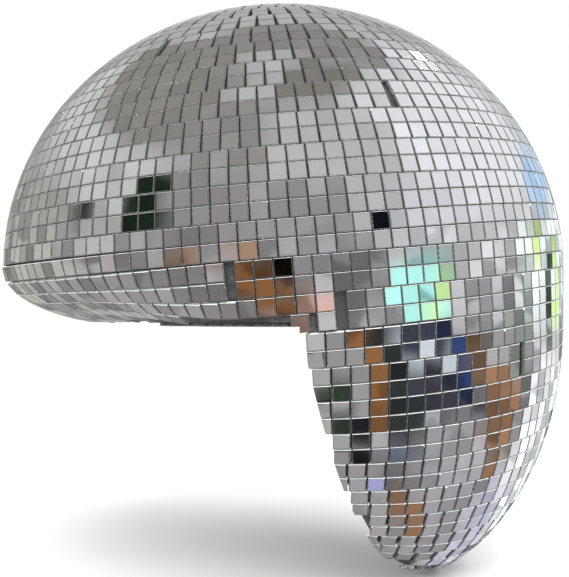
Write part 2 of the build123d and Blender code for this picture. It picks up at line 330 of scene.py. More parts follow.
class HandlingMarks(SharedEffect):
    """Finger marks and wiping streaks on a smooth surface."""

    title = "handling_marks"
    takes = (("Amount", Socket.NUMBER, 0.5), ("Scale", Socket.NUMBER, 45.0))
    gives = (("Mask", Socket.NUMBER),)

    def build(self, desk: NodeDesk, taken: Wires) -> Wires:
        """Join broad smears with fine streaks that run one way.

        Args:
            desk: Desk of the group's tree.
            taken: The group's inputs by name.

        Returns:
            The mask, 1 where the marks are strongest.
        """
        place = desk.own_place()
        smear = desk.stretch(desk.noise(place, taken["Scale"], 4.0, 0.65), 0.42, 0.72, 0.0, 1.0)
        drawn = desk.drawn(place, (0.25, 1.0, 1.6))
        streak = desk.stretch(desk.noise(drawn, 1500.0, 2.0), 0.4, 0.7, 0.3, 1.0)
        mask = desk.math("MULTIPLY", smear, streak)
        return {"Mask": desk.math("MULTIPLY", mask, taken["Amount"], clamp=True)}


class FineGrain(SharedEffect):
    """Fine relief of moulded, rolled or fibrous surfaces, with its shade."""

    title = "fine_grain"
    takes = (
        ("Scale", Socket.NUMBER, 900.0),
        ("Stretch", Socket.ARROW, (1.0, 1.0, 1.0)),
        ("Strength", Socket.NUMBER, 0.3),
    )
    gives = (("Height", Socket.NUMBER), ("Shade", Socket.NUMBER))

    def build(self, desk: NodeDesk, taken: Wires) -> Wires:
        """Two octaves of relief, and a broader shade.

        Args:
            desk: Desk of the group's tree.
            taken: The group's inputs by name.

        Returns:
            The height of the relief, and the shade.
        """
        place = desk.own_place()
        drawn = desk.drawn(place, taken["Stretch"])
        fine = desk.noise(drawn, taken["Scale"], 3.0, 0.6)
        broad = desk.noise(drawn, desk.math("MULTIPLY", taken["Scale"], 0.06), 2.0)
        height = desk.math("MULTIPLY", fine, taken["Strength"])
        shares = (desk.math("MULTIPLY", fine, 0.4), desk.math("MULTIPLY", broad, 0.6))
        return {"Height": height, "Shade": desk.math("ADD", *shares)}


# Finishes ---------------------------------------------------------------------------------


@dataclass(frozen=True)
class Finish:
    """A material made from one Principled shader."""

    title: str

    @staticmethod
    def shaded(colour: Colour, share: float) -> Colour:
        """The colour, darker or lighter by a share."""
        return (*(part * share for part in colour[:3]), 1.0)

    def material(self) -> bpy.types.Material:
        """Make the finish's material the first time that it is asked for.

        Returns:
            The material.
        """
        made = bpy.data.materials.get(self.title)
        if made:
            return made
        made = bpy.data.materials.new(self.title)
        made.use_nodes = True
        made.node_tree.nodes.clear()
        desk = NodeDesk(made.node_tree)
        shader = desk.add("ShaderNodeBsdfPrincipled")
        desk.add("ShaderNodeOutputMaterial", {"Surface": shader.outputs[0]})
        self.dress(desk, shader)
        return made

    def dress(self, desk: NodeDesk, shader: bpy.types.Node) -> None:
        """Join this finish's nodes to the shader."""
        raise NotImplementedError

    def relief(self, desk: NodeDesk, shader: bpy.types.Node, height: Wire, depth: float) -> None:
        """Give the shader a bump.

        Args:
            desk: Desk of the material's tree.
            shader: The Principled shader.
            height: The height, from 0 to 1.
            depth: Height in metres at 1.
        """
        bump = desk.add("ShaderNodeBump", {"Height": height, "Distance": depth, "Strength": 1.0})
        desk.feed(shader.inputs["Normal"], bump.outputs[0])


@dataclass(frozen=True)
class MirrorFace(Finish):
    """The silvered face of a tile, a little different on each."""

    title: str = "mirror_face"
    bright: Colour = (0.925, 0.925, 0.93, 1.0)
    dull: Colour = (0.84, 0.84, 0.845, 1.0)
    spoiled: Colour = (0.20, 0.20, 0.185, 1.0)
    dust: Colour = (0.62, 0.60, 0.56, 1.0)
    half_side: float = 2.5 * MILLIMETRE
    spoiled_rim: float = 0.28 * MILLIMETRE
    ragged_by: float = 0.5 * MILLIMETRE
    rim_shift: float = 0.16 * MILLIMETRE
    rim_strength: float = 0.75
    polish: float = 0.035
    smear_roughness: float = 0.10
    dust_roughness: float = 0.7

    def dress(self, desk: NodeDesk, shader: bpy.types.Node) -> None:
        """Vary the silver by tile, darken its cut rim and add marks and dust.

        Args:
            desk: Desk of the material's tree.
            shader: The Principled shader.
        """
        place = desk.own_place()
        tone = desk.carried(TileData.TONE)
        parts = desk.add("ShaderNodeSeparateXYZ", {0: desk.carried(TileData.PLACE, "Vector")})
        across = desk.math("ABSOLUTE", parts.outputs[0])
        along = desk.math("ABSOLUTE", parts.outputs[1])
        nearest = desk.math("MAXIMUM", across, along)
        ragged = desk.math("MULTIPLY", desk.noise(place, 2600.0, 2.0), self.ragged_by)
        edge = desk.math("ADD", nearest, ragged)
        inner = self.half_side - self.spoiled_rim + self.rim_shift
        rim = desk.stretch(edge, inner, inner + self.spoiled_rim, 0.0, self.rim_strength)
        marks = HandlingMarks().place(desk, Amount=0.8, Scale=48.0).outputs["Mask"]
        dusty = SettledDust().place(desk, Amount=0.16, Scale=70.0).outputs["Mask"]
        pits = desk.stretch(desk.noise(place, 5200.0, 1.0), 0.74, 0.8, 0.0, 0.6)
        silver = desk.blend(desk.stretch(tone, 0.0, 1.0, 0.0, 1.0), self.dull, self.bright)
        worn = desk.blend(desk.math("MAXIMUM", rim, pits), silver, self.spoiled)
        desk.feed(shader.inputs["Base Color"], desk.blend(dusty, worn, self.dust))
        shader.inputs["Metallic"].default_value = 1.0
        smeared = desk.math("MULTIPLY", marks, self.smear_roughness)
        rough = desk.math("ADD", smeared, desk.math("MULTIPLY", dusty, self.dust_roughness))
        desk.feed(shader.inputs["Roughness"], desk.math("ADD", rough, self.polish, clamp=True))


@dataclass(frozen=True)
class CutGlass(Finish):
    """The cut edge of a tile, where the glass shows, with painted light on the sides that face up
    and painted shade on the sides that face down.
    """

    title: str = "cut_glass_edge"
    # Pale glass; it also stands for the painted light on sides that face up.
    clear: Colour = (0.93, 0.96, 0.95, 1.0)
    # Dark green glass; it also stands for the painted shade on sides that face down.
    dark_glass_and_painted_shade: Colour = (0.14, 0.148, 0.144, 1.0)
    # Painted shade and light: how much darker or paler a side is made by facing down or up.
    painted_shade_and_light_shift: tuple[float, float] = (-0.21, 0.32)
    tone_share: float = 0.22
    pale_from: float = 0.46
    pale_at: float = 0.84
    pits: float = 0.05 * MILLIMETRE

    def dress(self, desk: NodeDesk, shader: bpy.types.Node) -> None:
        """Scored, shelly breaks between pale and dark green, with painted light and shade by which
        way each side faces.

        Args:
            desk: Desk of the material's tree.
            shader: The Principled shader.
        """
        place = desk.own_place()
        shells = desk.noise(place, 1900.0, 3.0, 0.6)
        # Painted light and shade: sides that face up are made paler, and sides that face down
        # darker.
        facing = desk.stretch(desk.carried(TileData.RISE), 0.05, 0.75, *self.painted_shade_and_light_shift)
        own_share = desk.math("MULTIPLY", desk.carried(TileData.TONE), self.tone_share)
        uneven = desk.math("ADD", shells, own_share)
        paleness_with_painted_light = desk.math("ADD", uneven, facing)
        lit = desk.stretch(paleness_with_painted_light, self.pale_from, self.pale_at, 0.0, 1.0)
        desk.feed(shader.inputs["Base Color"], desk.blend(lit, self.dark_glass_and_painted_shade, self.clear))
        desk.feed(shader.inputs["Roughness"], desk.stretch(shells, 0.3, 0.7, 0.08, 0.34))
        shader.inputs["IOR"].default_value = 1.52
        shader.inputs["Specular IOR Level"].default_value = 0.9
        self.relief(desk, shader, shells, self.pits)


@dataclass(frozen=True)
class TileBacking(Finish):
    """Grey protective paint on the back of a tile."""

    title: str = "tile_back_paint"
    colour: Colour = (0.16, 0.165, 0.17, 1.0)

    def dress(self, desk: NodeDesk, shader: bpy.types.Node) -> None:
        """Slightly uneven matt paint.

        Args:
            desk: Desk of the material's tree.
            shader: The Principled shader.
        """
        grain = FineGrain().place(desk, Scale=1400.0, Strength=1.0)
        darker = self.shaded(self.colour, 0.6)
        mottled = desk.blend(grain.outputs["Shade"], darker, self.colour)
        desk.feed(shader.inputs["Base Color"], mottled)
        shader.inputs["Roughness"].default_value = 0.7


@dataclass(frozen=True)
class MouldedPlastic(Finish):
    """Dark moulded plastic with a fine spark-eroded grain, glue smears and dust."""

    title: str = "moulded_plastic"
    colour: Colour = (0.036, 0.037, 0.040, 1.0)
    smear: Colour = (0.105, 0.102, 0.096, 1.0)
    dust: Colour = (0.22, 0.215, 0.20, 1.0)
    grain_scale: float = 1500.0
    smear_share: float = 0.8
    gloss: float = 0.46
    grain_depth: float = 0.03 * MILLIMETRE

    def dress(self, desk: NodeDesk, shader: bpy.types.Node) -> None:
        """Mottle the plastic, smear glue on it and let dust settle.

        Args:
            desk: Desk of the material's tree.
            shader: The Principled shader.
        """
        place = desk.own_place()
        grain = FineGrain().place(desk, Scale=self.grain_scale, Strength=1.0)
        glue = desk.stretch(desk.noise(place, 210.0, 4.0, 0.65), 0.5, 0.68, 0.0, self.smear_share)
        dusty = SettledDust().place(desk, Amount=0.5, Scale=90.0).outputs["Mask"]
        shade = grain.outputs["Shade"]
        lighter = self.shaded(self.colour, 1.7)
        body = desk.blend(desk.stretch(shade, 0.3, 0.7, 0.0, 1.0), self.colour, lighter)
        glued = desk.blend(glue, body, self.smear)
        desk.feed(shader.inputs["Base Color"], desk.blend(dusty, glued, self.dust))
        rough = desk.stretch(shade, 0.3, 0.7, self.gloss - 0.08, self.gloss + 0.12)
        dulled = desk.math("ADD", rough, desk.math("MULTIPLY", dusty, 0.3), clamp=True)
        desk.feed(shader.inputs["Roughness"], dulled)
        self.relief(desk, shader, grain.outputs["Height"], self.grain_depth)


@dataclass(frozen=True)
class CoverSheet(MouldedPlastic):
    """Flat sheet of the covers, glossier and with less glue on it."""

    title: str = "cover_sheet"
    colour: Colour = (0.06, 0.061, 0.064, 1.0)
    smear_share: float = 0.3
    gloss: float = 0.4


@dataclass(frozen=True)
class PressedFelt(Finish):
    """Charcoal wool felt: matted fibres, paler lint and flattened patches."""

    title: str = "pressed_felt"
    dark: Colour = (0.028, 0.029, 0.032, 1.0)
    pale: Colour = (0.125, 0.127, 0.135, 1.0)
    lint: Colour = (0.42, 0.41, 0.40, 1.0)
    fibre_turns: Plain = (0.35, 1.5, 2.5)
    fibre_depth: float = 0.35 * MILLIMETRE

    def dress(self, desk: NodeDesk, shader: bpy.types.Node) -> None:
        """Cross three runs of stretched noise as fibres.

        Args:
            desk: Desk of the material's tree.
            shader: The Principled shader.
        """
        place = desk.own_place()
        crossings = []
        for turn in self.fibre_turns:
            turned = desk.drawn(place, (0.22, 1.0, 1.0), (turn, turn * 0.7, turn))
            crossings.append(desk.noise(turned, 2900.0, 3.0, 0.62))
        crossed = desk.math("MAXIMUM", crossings[0], crossings[1])
        fibres = desk.math("MAXIMUM", crossed, crossings[2])
        patches = desk.stretch(desk.noise(place, 70.0, 2.0), 0.35, 0.65, 0.0, 0.35)
        shade = desk.math("ADD", desk.stretch(fibres, 0.45, 0.78, 0.0, 0.75), patches, clamp=True)
        wool = desk.blend(shade, self.dark, self.pale)
        lint = desk.stretch(crossings[1], 0.73, 0.78, 0.0, 0.7)
        desk.feed(shader.inputs["Base Color"], desk.blend(lint, wool, self.lint))
        desk.feed(shader.inputs["Roughness"], desk.stretch(fibres, 0.4, 0.8, 0.98, 0.86))
        shader.inputs["Sheen Weight"].default_value = 0.25
        shader.inputs["Sheen Roughness"].default_value = 0.5
        shader.inputs["Specular IOR Level"].default_value = 0.15
        self.relief(desk, shader, fibres, self.fibre_depth)


@dataclass(frozen=True)
class BrushedSteel(Finish):
    """Zinc-plated screw steel, turned in fine rings and dulled by handling."""

    title: str = "screw_steel"
    bright: Colour = (0.60, 0.60, 0.58, 1.0)
    dull: Colour = (0.34, 0.34, 0.33, 1.0)
    brush_depth: float = 0.01 * MILLIMETRE

    def dress(self, desk: NodeDesk, shader: bpy.types.Node) -> None:
        """Brush the steel and dull it in patches.

        Args:
            desk: Desk of the material's tree.
            shader: The Principled shader.
        """
        grain = FineGrain().place(desk, Scale=3500.0, Stretch=(1.0, 0.1, 1.0), Strength=0.6)
        marks = HandlingMarks().place(desk, Amount=1.0, Scale=260.0).outputs["Mask"]
        desk.feed(shader.inputs["Base Color"], desk.blend(marks, self.bright, self.dull))
        shader.inputs["Metallic"].default_value = 1.0
        rough = desk.stretch(grain.outputs["Shade"], 0.3, 0.7, 0.24, 0.44)
        desk.feed(shader.inputs["Roughness"], rough)
        self.relief(desk, shader, grain.outputs["Height"], self.brush_depth)


@dataclass(frozen=True)
class PalePaper(Finish):
    """Plain pale floor."""

    title: str = "pale_floor"
    colour: Colour = (0.93, 0.93, 0.93, 1.0)

    def dress(self, desk: NodeDesk, shader: bpy.types.Node) -> None:
        """Matt paper with next to no texture.

        Args:
            desk: Desk of the material's tree.
            shader: The Principled shader.
        """
        cloudy = desk.noise(desk.own_place(), 9.0)
        darker = self.shaded(self.colour, 0.985)
        desk.feed(shader.inputs["Base Color"], desk.blend(cloudy, self.colour, darker))
        shader.inputs["Roughness"].default_value = 0.9
        shader.inputs["Specular IOR Level"].default_value = 0.1


# Pieces of the ball -----------------------------------------------------------------------


@dataclass
class MirrorTiles:
    """The mirror tiles of one strip, cut from sheet glass."""

    node: str
    body: str = "root"
    arris: float = 0.09 * MILLIMETRE
    chip_share: float = 0.07
    chip_least: float = 0.25 * MILLIMETRE
    chip_most: float = 0.85 * MILLIMETRE
    chip_room: float = 4.0
    arris_share: float = 0.3
    flat_turn: float = 0.05
    weld: float = 0.001 * MILLIMETRE
    same_point: float = 0.0001 * MILLIMETRE
    level: float = 0.99
    upright: float = 0.1
    finishes: tuple[Finish, ...] = (MirrorFace(), CutGlass(), TileBacking())

    def outlines(self, plain: bpy.types.Object) -> list[list[list[Vector]]]:
        """The faces of each tile of the plain node.

        Args:
            plain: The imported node.

        Returns:
            For each tile, its flat faces as rings of points.
        """
        mesh = bmesh.new()
        mesh.from_mesh(plain.data)
        bmesh.ops.remove_doubles(mesh, verts=mesh.verts, dist=self.weld)
        bmesh.ops.dissolve_limit(
            mesh, angle_limit=self.flat_turn, verts=mesh.verts, edges=mesh.edges
        )
        seen = set()
        tiles = []
        for start in mesh.faces:
            if start in seen:
                continue
            found, waiting = [], [start]
            seen.add(start)
            while waiting:
                face = waiting.pop()
                found.append([corner.co.copy() for corner in face.verts])
                for near in (linked for edge in face.edges for linked in edge.link_faces):
                    if near not in seen:
                        seen.add(near)
                        waiting.append(near)
            tiles.append(found)
        mesh.free()
        return tiles

    def joined(self, faces: list[list[Vector]]) -> bmesh.types.BMesh:
        """A tile's mesh, closed along its edges.

        Args:
            faces: The tile's flat faces.

        Returns:
            The mesh, with its normals outwards.
        """
        tile = bmesh.new()
        corners: dict[tuple[int, ...], bmesh.types.BMVert] = {}
        for ring in faces:
            points = []
            for point in ring:
                key = tuple(round(part / self.same_point) for part in point)
                if key not in corners:
                    corners[key] = tile.verts.new(point)
                points.append(corners[key])
            if len(set(points)) == len(points) > 2:
                tile.faces.new(points)
        bmesh.ops.recalc_face_normals(tile, faces=tile.faces)
        return tile

    def shaped(
        self, faces: list[list[Vector]], chance: random.Random, centre: Vector
    ) -> tuple[bmesh.types.BMesh, Vector, Vector]:
        """One tile with ground arrises, and now and then a chipped corner.

        Args:
            faces: The tile's flat faces.
            chance: Source of the chips.
            centre: A point well inside the ball.

        Returns:
            The tile's mesh, the middle of its front and its outward normal.
        """
        tile = self.joined(faces)
        broadest = sorted(tile.faces, key=lambda face: face.calc_area())[-2:]
        front = max(broadest, key=lambda face: face.normal.dot(face.calc_center_median() - centre))
        middle, normal = front.calc_center_median(), front.normal.copy()
        shortest = min(edge.calc_length() for edge in front.edges)
        if chance.random() < self.chip_share and shortest > self.chip_room * self.chip_most:
            chipped = chance.choice(list(front.verts))
            depth = chance.uniform(self.chip_least, self.chip_most)
            bmesh.ops.bevel(tile, geom=[chipped], offset=depth, segments=1, affect="VERTICES")
            front = max(tile.faces, key=lambda face: face.normal.dot(normal) * face.calc_area())
        shortest = min(edge.calc_length() for edge in front.edges)
        ground = min(self.arris, self.arris_share * shortest)
        bmesh.ops.bevel(
            tile, geom=list(front.edges), offset=ground, segments=2, profile=0.5, affect="EDGES"
        )
        return tile, middle, normal

    def longest_way(self, tile: bmesh.types.BMesh, normal: Vector) -> Vector:
        """The direction of the longest edge that lies flat with the tile.

        Args:
            tile: The tile's mesh.
            normal: Its outward normal.

        Returns:
            The direction, one long.
        """
        ways = [edge.verts[1].co - edge.verts[0].co for edge in tile.edges]
        flat = [way for way in ways if abs(way.normalized().dot(normal)) < self.upright]
        return max(flat, key=lambda way: way.length).normalized()

    def side(self, face: bmesh.types.BMFace, normal: Vector) -> Side:
        """The side of the tile that a face is on.

        Args:
            face: A face of the tile's mesh.
            normal: The tile's outward normal.

        Returns:
            The front, the edge or the back.
        """
        facing = face.normal.dot(normal)
        if abs(facing) <= self.level:
            return Side.EDGE
        return Side.FRONT if facing > 0 else Side.BACK

    def build(self, frame: dict) -> bpy.types.Object:
        """Build every tile of the node, dress it and stand it in for the node.


        Returns:
            The new object.
        """
        plain = frame["nodes"][self.node]
        low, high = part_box("shell")
        centre = (low + high) / 2
        chance = random.Random(self.node)
        points, rings, slots, tones, rises, places = [], [], [], [], [], []
        for faces in self.outlines(plain):
            tile, middle, normal = self.shaped(faces, chance, centre)
            along = self.longest_way(tile, normal)
            across = normal.cross(along)
            tone = chance.random()
            first = len(points)
            tile.verts.index_update()
            for corner in tile.verts:
                away = corner.co - middle
                points.append(corner.co.copy())
                places.append((away.dot(along), away.dot(across), away.dot(normal)))
            for face in tile.faces:
                rings.append([first + corner.index for corner in face.verts])
                slots.append(self.side(face, normal).value)
                tones.append(tone)
                # How far each side of the tile faces up, for the painted light and shade of the cut
                # glass.
                sideways = face.normal - normal * face.normal.dot(normal)
                rises.append(sideways.normalized().z)
            tile.free()
        mesh = bpy.data.meshes.new(f"{self.node}_glass")
        mesh.from_pydata(points, [], rings)
        for finish in self.finishes:
            mesh.materials.append(finish.material())
        mesh.polygons.foreach_set("material_index", slots)
        for data, values in ((TileData.TONE, tones), (TileData.RISE, rises)):
            mesh.attributes.new(data.value, "FLOAT", "FACE").data.foreach_set("value", values)
        spots = mesh.attributes.new(TileData.PLACE.value, "FLOAT_VECTOR", "POINT")
        spots.data.foreach_set("vector", [part for place in places for part in place])
        mesh.update()
        piece = bpy.data.objects.new(f"{self.node}_glass", mesh)
        bpy.context.scene.collection.objects.link(piece)
        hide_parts(self.node)
        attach(piece, self.body)
        log.info("%s: %d tiles", piece.name, len(set(tones)))
        return piece


@dataclass
class Mosaic:
    """All the mirror tiles: the crown's, and the strips below it."""

    crown: str = "crown_tiles"
    strip: str = "mirror_strip_"
    pieces: list[bpy.types.Object] = field(default_factory=list)

    def build(self, frame: dict) -> None:
        """Build the tiles of every mirror node of the frame.
        """
        for node in sorted(frame["nodes"]):
            if node == self.crown or node.startswith(self.strip):
                self.pieces.append(MirrorTiles(node).build(frame))
        log.info("%d strips of tiles", len(self.pieces))


@dataclass
class FeltPad:
    """A felt cut from the sheet and glued over the cover of a flat side."""

    node: str
    glued_to: str
    rounding: float = 0.4 * MILLIMETRE
    sharp_turn: float = math.radians(50.0)
    flat_turn: float = math.radians(1.0)
    weld: float = 0.001 * MILLIMETRE
    broad_area: float = 1000.0 * MILLIMETRE**2
    body: str = "root"
    finish: Finish = PressedFelt()

    def is_rim(self, edge: bmesh.types.BMEdge) -> bool:
        """Whether an edge runs round one of the pad's two broad sides.

        Args:
            edge: An edge of the pad's mesh.

        Returns:
            True if it does.
        """
        if edge.calc_face_angle(0.0) <= self.sharp_turn:
            return False
        return max(face.calc_area() for face in edge.link_faces) > self.broad_area

    def build(self, frame: dict) -> bpy.types.Object:
        """Round the pad's cut edges and dress it.


        Returns:
            The new object.
        """
        mesh = bmesh.new()
        mesh.from_mesh(frame["nodes"][self.node].data)
        bmesh.ops.remove_doubles(mesh, verts=mesh.verts, dist=self.weld)
        bmesh.ops.dissolve_limit(
            mesh, angle_limit=self.flat_turn, verts=mesh.verts, edges=mesh.edges
        )
        cut_area = max(face.calc_area() for face in mesh.faces)
        rims = [edge for edge in mesh.edges if self.is_rim(edge)]
        bmesh.ops.bevel(
            mesh, geom=rims, offset=self.rounding, segments=3, profile=0.5, affect="EDGES"
        )
        made = bpy.data.meshes.new(f"{self.node}_pad")
        mesh.to_mesh(made)
        mesh.free()
        made.materials.clear()
        made.materials.append(self.finish.material())
        made.polygons.foreach_set("material_index", [0] * len(made.polygons))
        piece = bpy.data.objects.new(f"{self.node}_pad", made)
        bpy.context.scene.collection.objects.link(piece)
        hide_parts(self.node)
        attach(piece, self.body)
        low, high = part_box(self.node)
        _, width, length = sorted(high - low)
        sides = (width / MILLIMETRE, length / MILLIMETRE)
        log.info("%s: felt of %.0f by %.0f mm", piece.name, *sides)
        return piece


@dataclass
class PlainParts:
    """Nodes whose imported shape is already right, and their finishes."""

    finishes: dict[str, Finish] = field(
        default_factory=lambda: {
            "shell": MouldedPlastic(),
            "seat_cover": CoverSheet(),
            "apron_cover": CoverSheet(),
            "seat_screws": BrushedSteel(),
            "apron_screws": BrushedSteel(),
        }
    )

    def build(self, frame: dict) -> None:
        """Put each finish in its node's material slots.
        """
        for node, finish in self.finishes.items():
            held = frame["nodes"][node]
            if not held.data.materials:
                held.data.materials.append(None)
            for number in range(len(held.data.materials)):
                held.data.materials[number] = finish.material()
            log.info("%s: %s", node, finish.title)


# Surroundings -----------------------------------------------------------------------------


@dataclass(frozen=True)
class RoomPatch:
    """Something in the room that the mirrors pick up, by its direction from the ball."""

    turn: float
    height: float
    half_turn: float
    half_height: float
    colour: Plain
    soft: float


class PatchMask(SharedEffect):
    """A soft-edged window in directions: 1 inside, 0 outside."""

    title = "patch_mask"
    takes = (
        ("Turn", Socket.NUMBER, 0.0),
        ("Height", Socket.NUMBER, 0.0),
        ("Middle turn", Socket.NUMBER, 0.0),
        ("Middle height", Socket.NUMBER, 0.0),
        ("Half turn", Socket.NUMBER, 10.0),
        ("Half height", Socket.NUMBER, 10.0),
        ("Soft", Socket.NUMBER, 4.0),
    )
    gives = (("Mask", Socket.NUMBER),)

    def build(self, desk: NodeDesk, taken: Wires) -> Wires:
        """Measure both ways from the middle, the turn the short way round.

        Args:
            desk: Desk of the group's tree.
            taken: The group's inputs by name.

        Returns:
            The mask, 1 well inside the window.
        """
        shift = desk.math("SUBTRACT", taken["Turn"], taken["Middle turn"])
        round_once = desk.math("WRAP", desk.math("ADD", shift, 180.0), 360.0, 0.0)
        wrapped = desk.math("SUBTRACT", round_once, 180.0)
        across = desk.math("SUBTRACT", taken["Half turn"], desk.math("ABSOLUTE", wrapped))
        rise = desk.math("ABSOLUTE", desk.math("SUBTRACT", taken["Height"], taken["Middle height"]))
        upward = desk.math("SUBTRACT", taken["Half height"], rise)
        inside = desk.math("DIVIDE", desk.math("MINIMUM", across, upward), taken["Soft"])
        return {"Mask": desk.math("ADD", inside, 0.5, clamp=True)}


@dataclass
class Room:
    """A pale studio, with what a real room would show in the mirrors."""

    backdrop: Plain = (1.0, 1.0, 1.0)
    fill: float = 1.12
    ceiling: Plain = (0.50, 0.50, 0.505)
    walls: Plain = (0.42, 0.415, 0.42)
    ground: Plain = (0.34, 0.33, 0.335)
    patches: tuple[RoomPatch, ...] = (
        RoomPatch(-50.0, 38.0, 46.0, 26.0, (0.88, 0.90, 0.93), 22.0),
        RoomPatch(-118.0, 34.0, 24.0, 24.0, (0.52, 0.515, 0.53), 14.0),
        RoomPatch(-88.0, 19.0, 13.0, 12.0, (0.74, 0.755, 0.79), 8.0),
        RoomPatch(-71.0, 8.0, 13.0, 7.0, (0.70, 0.70, 0.72), 5.0),
        RoomPatch(-122.0, 3.0, 9.0, 4.0, (0.235, 0.23, 0.232), 3.0),
        RoomPatch(147.0, -17.0, 16.0, 10.0, (0.37, 0.345, 0.34), 6.0),
        RoomPatch(108.0, 60.0, 48.0, 18.0, (0.27, 0.262, 0.243), 5.0),
        RoomPatch(178.0, 54.0, 22.0, 14.0, (0.30, 0.293, 0.28), 4.0),
        RoomPatch(20.0, 70.0, 52.0, 11.0, (0.29, 0.282, 0.27), 5.0),
        RoomPatch(-141.0, 50.0, 15.0, 15.0, (0.54, 0.54, 0.545), 5.0),
        RoomPatch(-141.0, 20.0, 17.0, 13.0, (0.32, 0.312, 0.322), 6.0),
        RoomPatch(95.0, 30.0, 36.0, 10.0, (0.62, 0.625, 0.62), 6.0),
        RoomPatch(80.0, 2.0, 36.0, 22.0, (0.38, 0.385, 0.36), 10.0),
        RoomPatch(-178.0, 20.0, 17.0, 16.0, (0.29, 0.28, 0.285), 6.0),
        RoomPatch(-95.0, 78.0, 60.0, 8.0, (0.23, 0.22, 0.20), 5.0),
        RoomPatch(146.0, 30.0, 10.0, 12.0, (0.60, 0.60, 0.60), 5.0),
        RoomPatch(154.5, 22.0, 8.0, 9.5, (0.012, 0.02, 0.013), 2.5),
        RoomPatch(124.0, 16.0, 3.2, 3.0, (0.02, 0.025, 0.02), 1.5),
        RoomPatch(-113.0, 19.0, 3.6, 3.4, (0.004, 0.005, 0.008), 1.2),
        RoomPatch(-153.0, 3.0, 6.5, 3.4, (0.004, 0.004, 0.004), 1.2),
        RoomPatch(-165.0, 8.0, 5.0, 3.0, (0.30, 0.20, 0.14), 2.0),
        RoomPatch(170.0, -1.0, 7.0, 3.0, (0.36, 0.20, 0.10), 2.0),
        RoomPatch(-160.0, -6.0, 24.0, 6.0, (0.19, 0.085, 0.032), 1.6),
        RoomPatch(-136.0, -3.0, 6.5, 3.4, (0.62, 0.38, 0.31), 2.0),
        RoomPatch(-97.0, 1.5, 11.0, 3.2, (0.42, 0.86, 0.78), 1.5),
        RoomPatch(-90.0, 1.5, 3.0, 3.2, (0.66, 0.95, 0.42), 1.5),
        RoomPatch(-10.0, 17.0, 17.0, 5.0, (0.50, 0.70, 0.96), 2.5),
        RoomPatch(-20.0, 6.0, 26.0, 6.0, (0.86, 0.95, 0.93), 4.0),
        RoomPatch(-33.0, 8.0, 3.6, 5.0, (0.64, 0.82, 0.34), 1.5),
        RoomPatch(-12.0, 4.0, 3.0, 4.0, (0.60, 0.86, 0.32), 1.5),
        RoomPatch(-23.0, 3.0, 2.6, 6.0, (0.10, 0.13, 0.10), 1.5),
        RoomPatch(-18.0, -18.0, 20.0, 14.0, (1.02, 1.04, 1.08), 5.0),
        RoomPatch(-46.0, -6.0, 7.0, 7.0, (0.24, 0.26, 0.24), 4.0),
        RoomPatch(-140.0, -44.0, 18.0, 20.0, (0.45, 0.445, 0.44), 6.0),
        RoomPatch(-108.0, -33.0, 11.0, 16.0, (0.03, 0.036, 0.034), 4.0),
        RoomPatch(-135.0, -46.0, 6.0, 3.4, (0.03, 0.046, 0.03), 1.5),
        RoomPatch(-141.0, -56.0, 6.0, 5.0, (0.035, 0.046, 0.036), 2.0),
        RoomPatch(-130.0, -54.0, 4.0, 2.8, (0.02, 0.02, 0.026), 1.4),
        RoomPatch(-131.0, -66.0, 7.0, 3.2, (0.012, 0.014, 0.012), 1.6),
        RoomPatch(-88.0, -14.0, 18.0, 12.0, (0.035, 0.04, 0.06), 4.0),
        RoomPatch(-98.0, -10.0, 4.0, 5.0, (0.006, 0.006, 0.01), 1.5),
        RoomPatch(-80.0, -17.0, 6.0, 5.0, (0.03, 0.055, 0.15), 2.0),
        RoomPatch(-72.0, -12.0, 6.0, 5.0, (0.22, 0.14, 0.08), 2.0),
        RoomPatch(-56.0, -24.0, 11.0, 13.0, (0.30, 0.165, 0.09), 3.0),
        RoomPatch(-118.5, -31.0, 3.8, 20.0, (0.24, 0.11, 0.042), 1.6),
        RoomPatch(-106.0, -53.0, 8.0, 4.5, (0.17, 0.185, 0.25), 3.0),
        RoomPatch(-75.0, -40.0, 22.0, 9.0, (0.40, 0.40, 0.42), 5.0),
        RoomPatch(-95.0, -30.0, 11.0, 5.5, (0.05, 0.046, 0.06), 3.0),
        RoomPatch(-101.0, -25.0, 5.0, 2.2, (0.40, 0.43, 0.47), 1.5),
        RoomPatch(-93.0, -21.0, 5.0, 2.2, (0.62, 0.67, 0.72), 1.5),
        RoomPatch(-85.0, -18.0, 4.0, 2.0, (0.44, 0.49, 0.50), 1.5),
        RoomPatch(-45.0, -56.0, 46.0, 10.0, (0.36, 0.35, 0.37), 8.0),
        RoomPatch(-104.0, -67.0, 15.0, 7.0, (0.17, 0.17, 0.18), 5.0),
        RoomPatch(-117.0, -73.0, 12.0, 3.2, (0.34, 0.35, 0.58), 2.0),
        RoomPatch(-60.0, -72.0, 40.0, 6.0, (0.30, 0.17, 0.10), 4.0),
        RoomPatch(-15.0, -40.0, 26.0, 8.0, (0.66, 0.64, 0.78), 5.0),
        RoomPatch(20.0, 24.0, 26.0, 7.0, (0.62, 0.63, 0.64), 5.0),
        RoomPatch(170.0, -38.0, 40.0, 18.0, (0.22, 0.21, 0.21), 10.0),
        RoomPatch(-8.0, 47.0, 1.4, 1.4, (26.0, 26.0, 27.0), 0.6),
        RoomPatch(-70.0, 58.0, 1.3, 1.3, (22.0, 22.0, 23.0), 0.6),
    )
    ceiling_rise: tuple[float, float] = (8.0, 70.0)
    ground_rise: tuple[float, float] = (-9.0, 1.0)
    clutter: float = 0.75
    clutter_far: float = 0.07
    clutter_range: tuple[float, float] = (0.35, 1.55)
    clutter_thins: tuple[float, float] = (2.0, 26.0)
    clutter_ground: tuple[float, float] = (-2.0, -9.0)
    clutter_lowest: float = -70.0
    clutter_low_share: float = 0.3
    things_across: float = 11.0
    eye_level: float = -4.0

